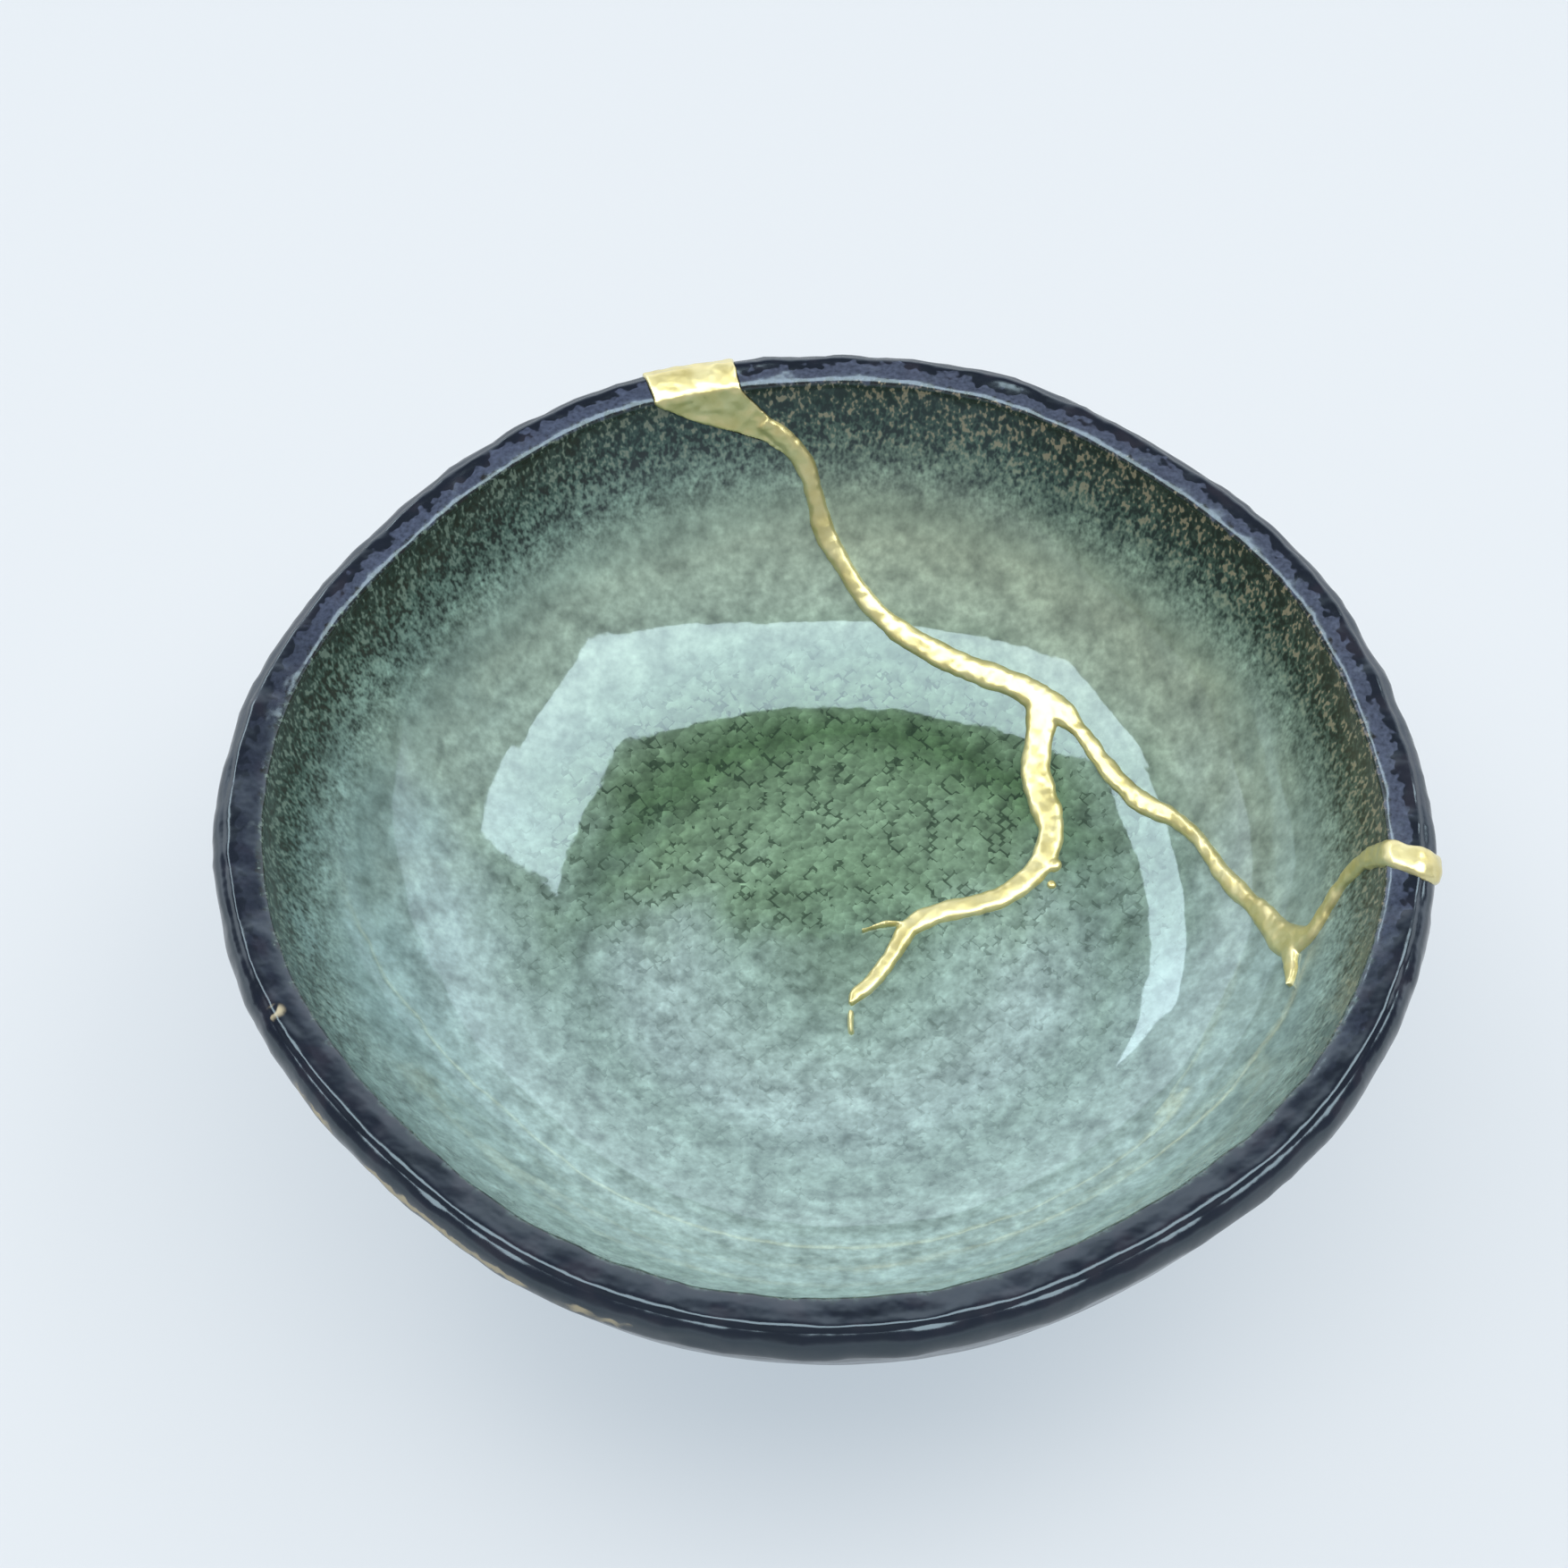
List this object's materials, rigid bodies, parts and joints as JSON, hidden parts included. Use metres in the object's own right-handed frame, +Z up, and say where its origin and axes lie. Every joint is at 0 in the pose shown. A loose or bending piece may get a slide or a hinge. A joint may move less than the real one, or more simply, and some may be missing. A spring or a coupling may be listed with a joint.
{
  "type": "kintsugi bowl",
  "caption": "Wide shallow hand-thrown stoneware bowl on a low foot ring, broken once and mended with raised gold lacquer lines.",
  "frame": {"origin": "on the surface that the foot ring stands on, under the middle of the rim", "axes": "+Z up out of the bowl's mouth, +X to the viewer's right and -Y towards the viewer in the picture"},
  "size_m": [0.1315, 0.1317, 0.0452],
  "materials": {
    "glaze_body": "gloss",
    "glaze_shard": "gloss",
    "gold": "satin"
  },
  "bodies": {
    "root": {"bowl_body": "glaze_body", "rim_shard": "glaze_shard", "gold_seam": "gold"}
  },
  "joints": []
}
